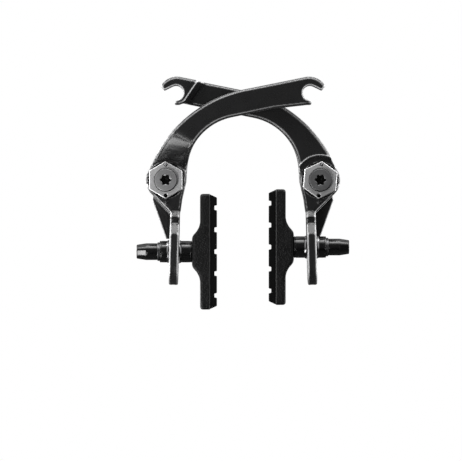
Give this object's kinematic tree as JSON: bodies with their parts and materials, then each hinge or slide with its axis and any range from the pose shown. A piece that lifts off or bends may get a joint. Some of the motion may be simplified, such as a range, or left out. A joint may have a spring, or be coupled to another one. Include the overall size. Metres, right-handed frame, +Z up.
{
  "type": "u brake",
  "caption": "Bicycle U-brake caliper: two crossing arched arms on sprung pivots, cable hooks at the top, notched pads on slotted plates below.",
  "frame": {"origin": "midway between the two pivot axes, on the mounting plane at the rear of the hubs", "axes": "+Z up towards the cable hooks, -Y forward to the viewer, +X to the viewer's right"},
  "size_m": [0.1104, 0.024, 0.1204],
  "materials": {
    "black_arm": "satin black forged aluminium",
    "bright_steel": "light grey plated steel",
    "dark_steel": "grey plated steel",
    "spring_steel": "bright spring wire",
    "bronze": "sintered bronze",
    "black_hardware": "black oxide steel",
    "seal_rubber": "matte rubber",
    "carrier_rubber": "pebbled moulded rubber",
    "friction_rubber": "dull friction rubber"
  },
  "bodies": {
    "frame_side": {"left_pivot_bolt": "dark_steel", "right_pivot_bolt": "dark_steel"},
    "left_swing_arm": {"left_arm": "black_arm", "left_pivot_bushing": "bronze", "left_dust_seal": "seal_rubber"},
    "left_spring_adjuster": {"left_tension_hex": "bright_steel", "left_return_spring": "spring_steel"},
    "left_clamp_slider": {"left_inner_ball_washer": "black_hardware", "left_outer_ball_washer": "black_hardware"},
    "left_clamp_tilt": {"left_inner_cup_washer": "black_hardware", "left_outer_cup_washer": "black_hardware"},
    "left_pad": {"left_pad_stud": "dark_steel", "left_pad_nut": "black_hardware", "left_flat_washer": "black_hardware", "left_pad_insert": "dark_steel", "left_pad_carrier": "carrier_rubber", "left_pad_rubber": "friction_rubber"},
    "right_swing_arm": {"right_arm": "black_arm", "right_pivot_bushing": "bronze", "right_dust_seal": "seal_rubber"},
    "right_spring_adjuster": {"right_tension_hex": "bright_steel", "right_return_spring": "spring_steel"},
    "right_clamp_slider": {"right_inner_ball_washer": "black_hardware", "right_outer_ball_washer": "black_hardware"},
    "right_clamp_tilt": {"right_inner_cup_washer": "black_hardware", "right_outer_cup_washer": "black_hardware"},
    "right_pad": {"right_pad_stud": "dark_steel", "right_pad_nut": "black_hardware", "right_flat_washer": "black_hardware", "right_pad_insert": "dark_steel", "right_pad_carrier": "carrier_rubber", "right_pad_rubber": "friction_rubber"}
  },
  "joints": [
    {"name": "left_arm_swing", "type": "hinge", "parent": "frame_side", "child": "left_swing_arm", "pos_m": [-0.04, 0, 0], "axis": [0, -1, 0], "range_deg": [-12, 8.5], "stiffness_Nm_per_rad": 1.5, "deforming": ["left_return_spring"]},
    {"name": "left_spring_setting", "type": "hinge", "parent": "frame_side", "child": "left_spring_adjuster", "pos_m": [-0.04, 0, 0], "axis": [0, 1, 0], "range_deg": [-45, 45], "deforming": ["left_return_spring"]},
    {"name": "left_pad_height", "type": "slide", "parent": "left_swing_arm", "child": "left_clamp_slider", "axis": [0.0262, 0, 0.9997], "range_m": [-0.0102, 0.0048]},
    {"name": "left_pad_toe", "type": "hinge", "parent": "left_clamp_slider", "child": "left_clamp_tilt", "pos_m": [-0.03573, -0.01, -0.0371], "axis": [0, 0, 1], "range_deg": [-5, 5]},
    {"name": "left_pad_swivel", "type": "hinge", "parent": "left_clamp_tilt", "child": "left_pad", "pos_m": [-0.03573, -0.01, -0.0371], "axis": [1, 0, 0], "range_deg": [-95, 95]},
    {"name": "right_arm_swing", "type": "hinge", "parent": "frame_side", "child": "right_swing_arm", "pos_m": [0.04, 0, 0], "axis": [0, 1, 0], "range_deg": [-12, 8.5], "stiffness_Nm_per_rad": 1.5, "deforming": ["right_return_spring"]},
    {"name": "right_spring_setting", "type": "hinge", "parent": "frame_side", "child": "right_spring_adjuster", "pos_m": [0.04, 0, 0], "axis": [0, 1, 0], "range_deg": [-45, 45], "deforming": ["right_return_spring"]},
    {"name": "right_pad_height", "type": "slide", "parent": "right_swing_arm", "child": "right_clamp_slider", "axis": [-0.0262, 0, 0.9997], "range_m": [-0.0126, 0.0024]},
    {"name": "right_pad_toe", "type": "hinge", "parent": "right_clamp_slider", "child": "right_clamp_tilt", "pos_m": [0.03567, -0.01, -0.0347], "axis": [0, 0, 1], "range_deg": [-5, 5]},
    {"name": "right_pad_swivel", "type": "hinge", "parent": "right_clamp_tilt", "child": "right_pad", "pos_m": [0.03567, -0.01, -0.0347], "axis": [1, 0, 0], "range_deg": [-95, 95]}
  ],
  "couplings": [
    {"joint": "right_arm_swing", "follows": "left_arm_swing", "ratio": 1}
  ]
}
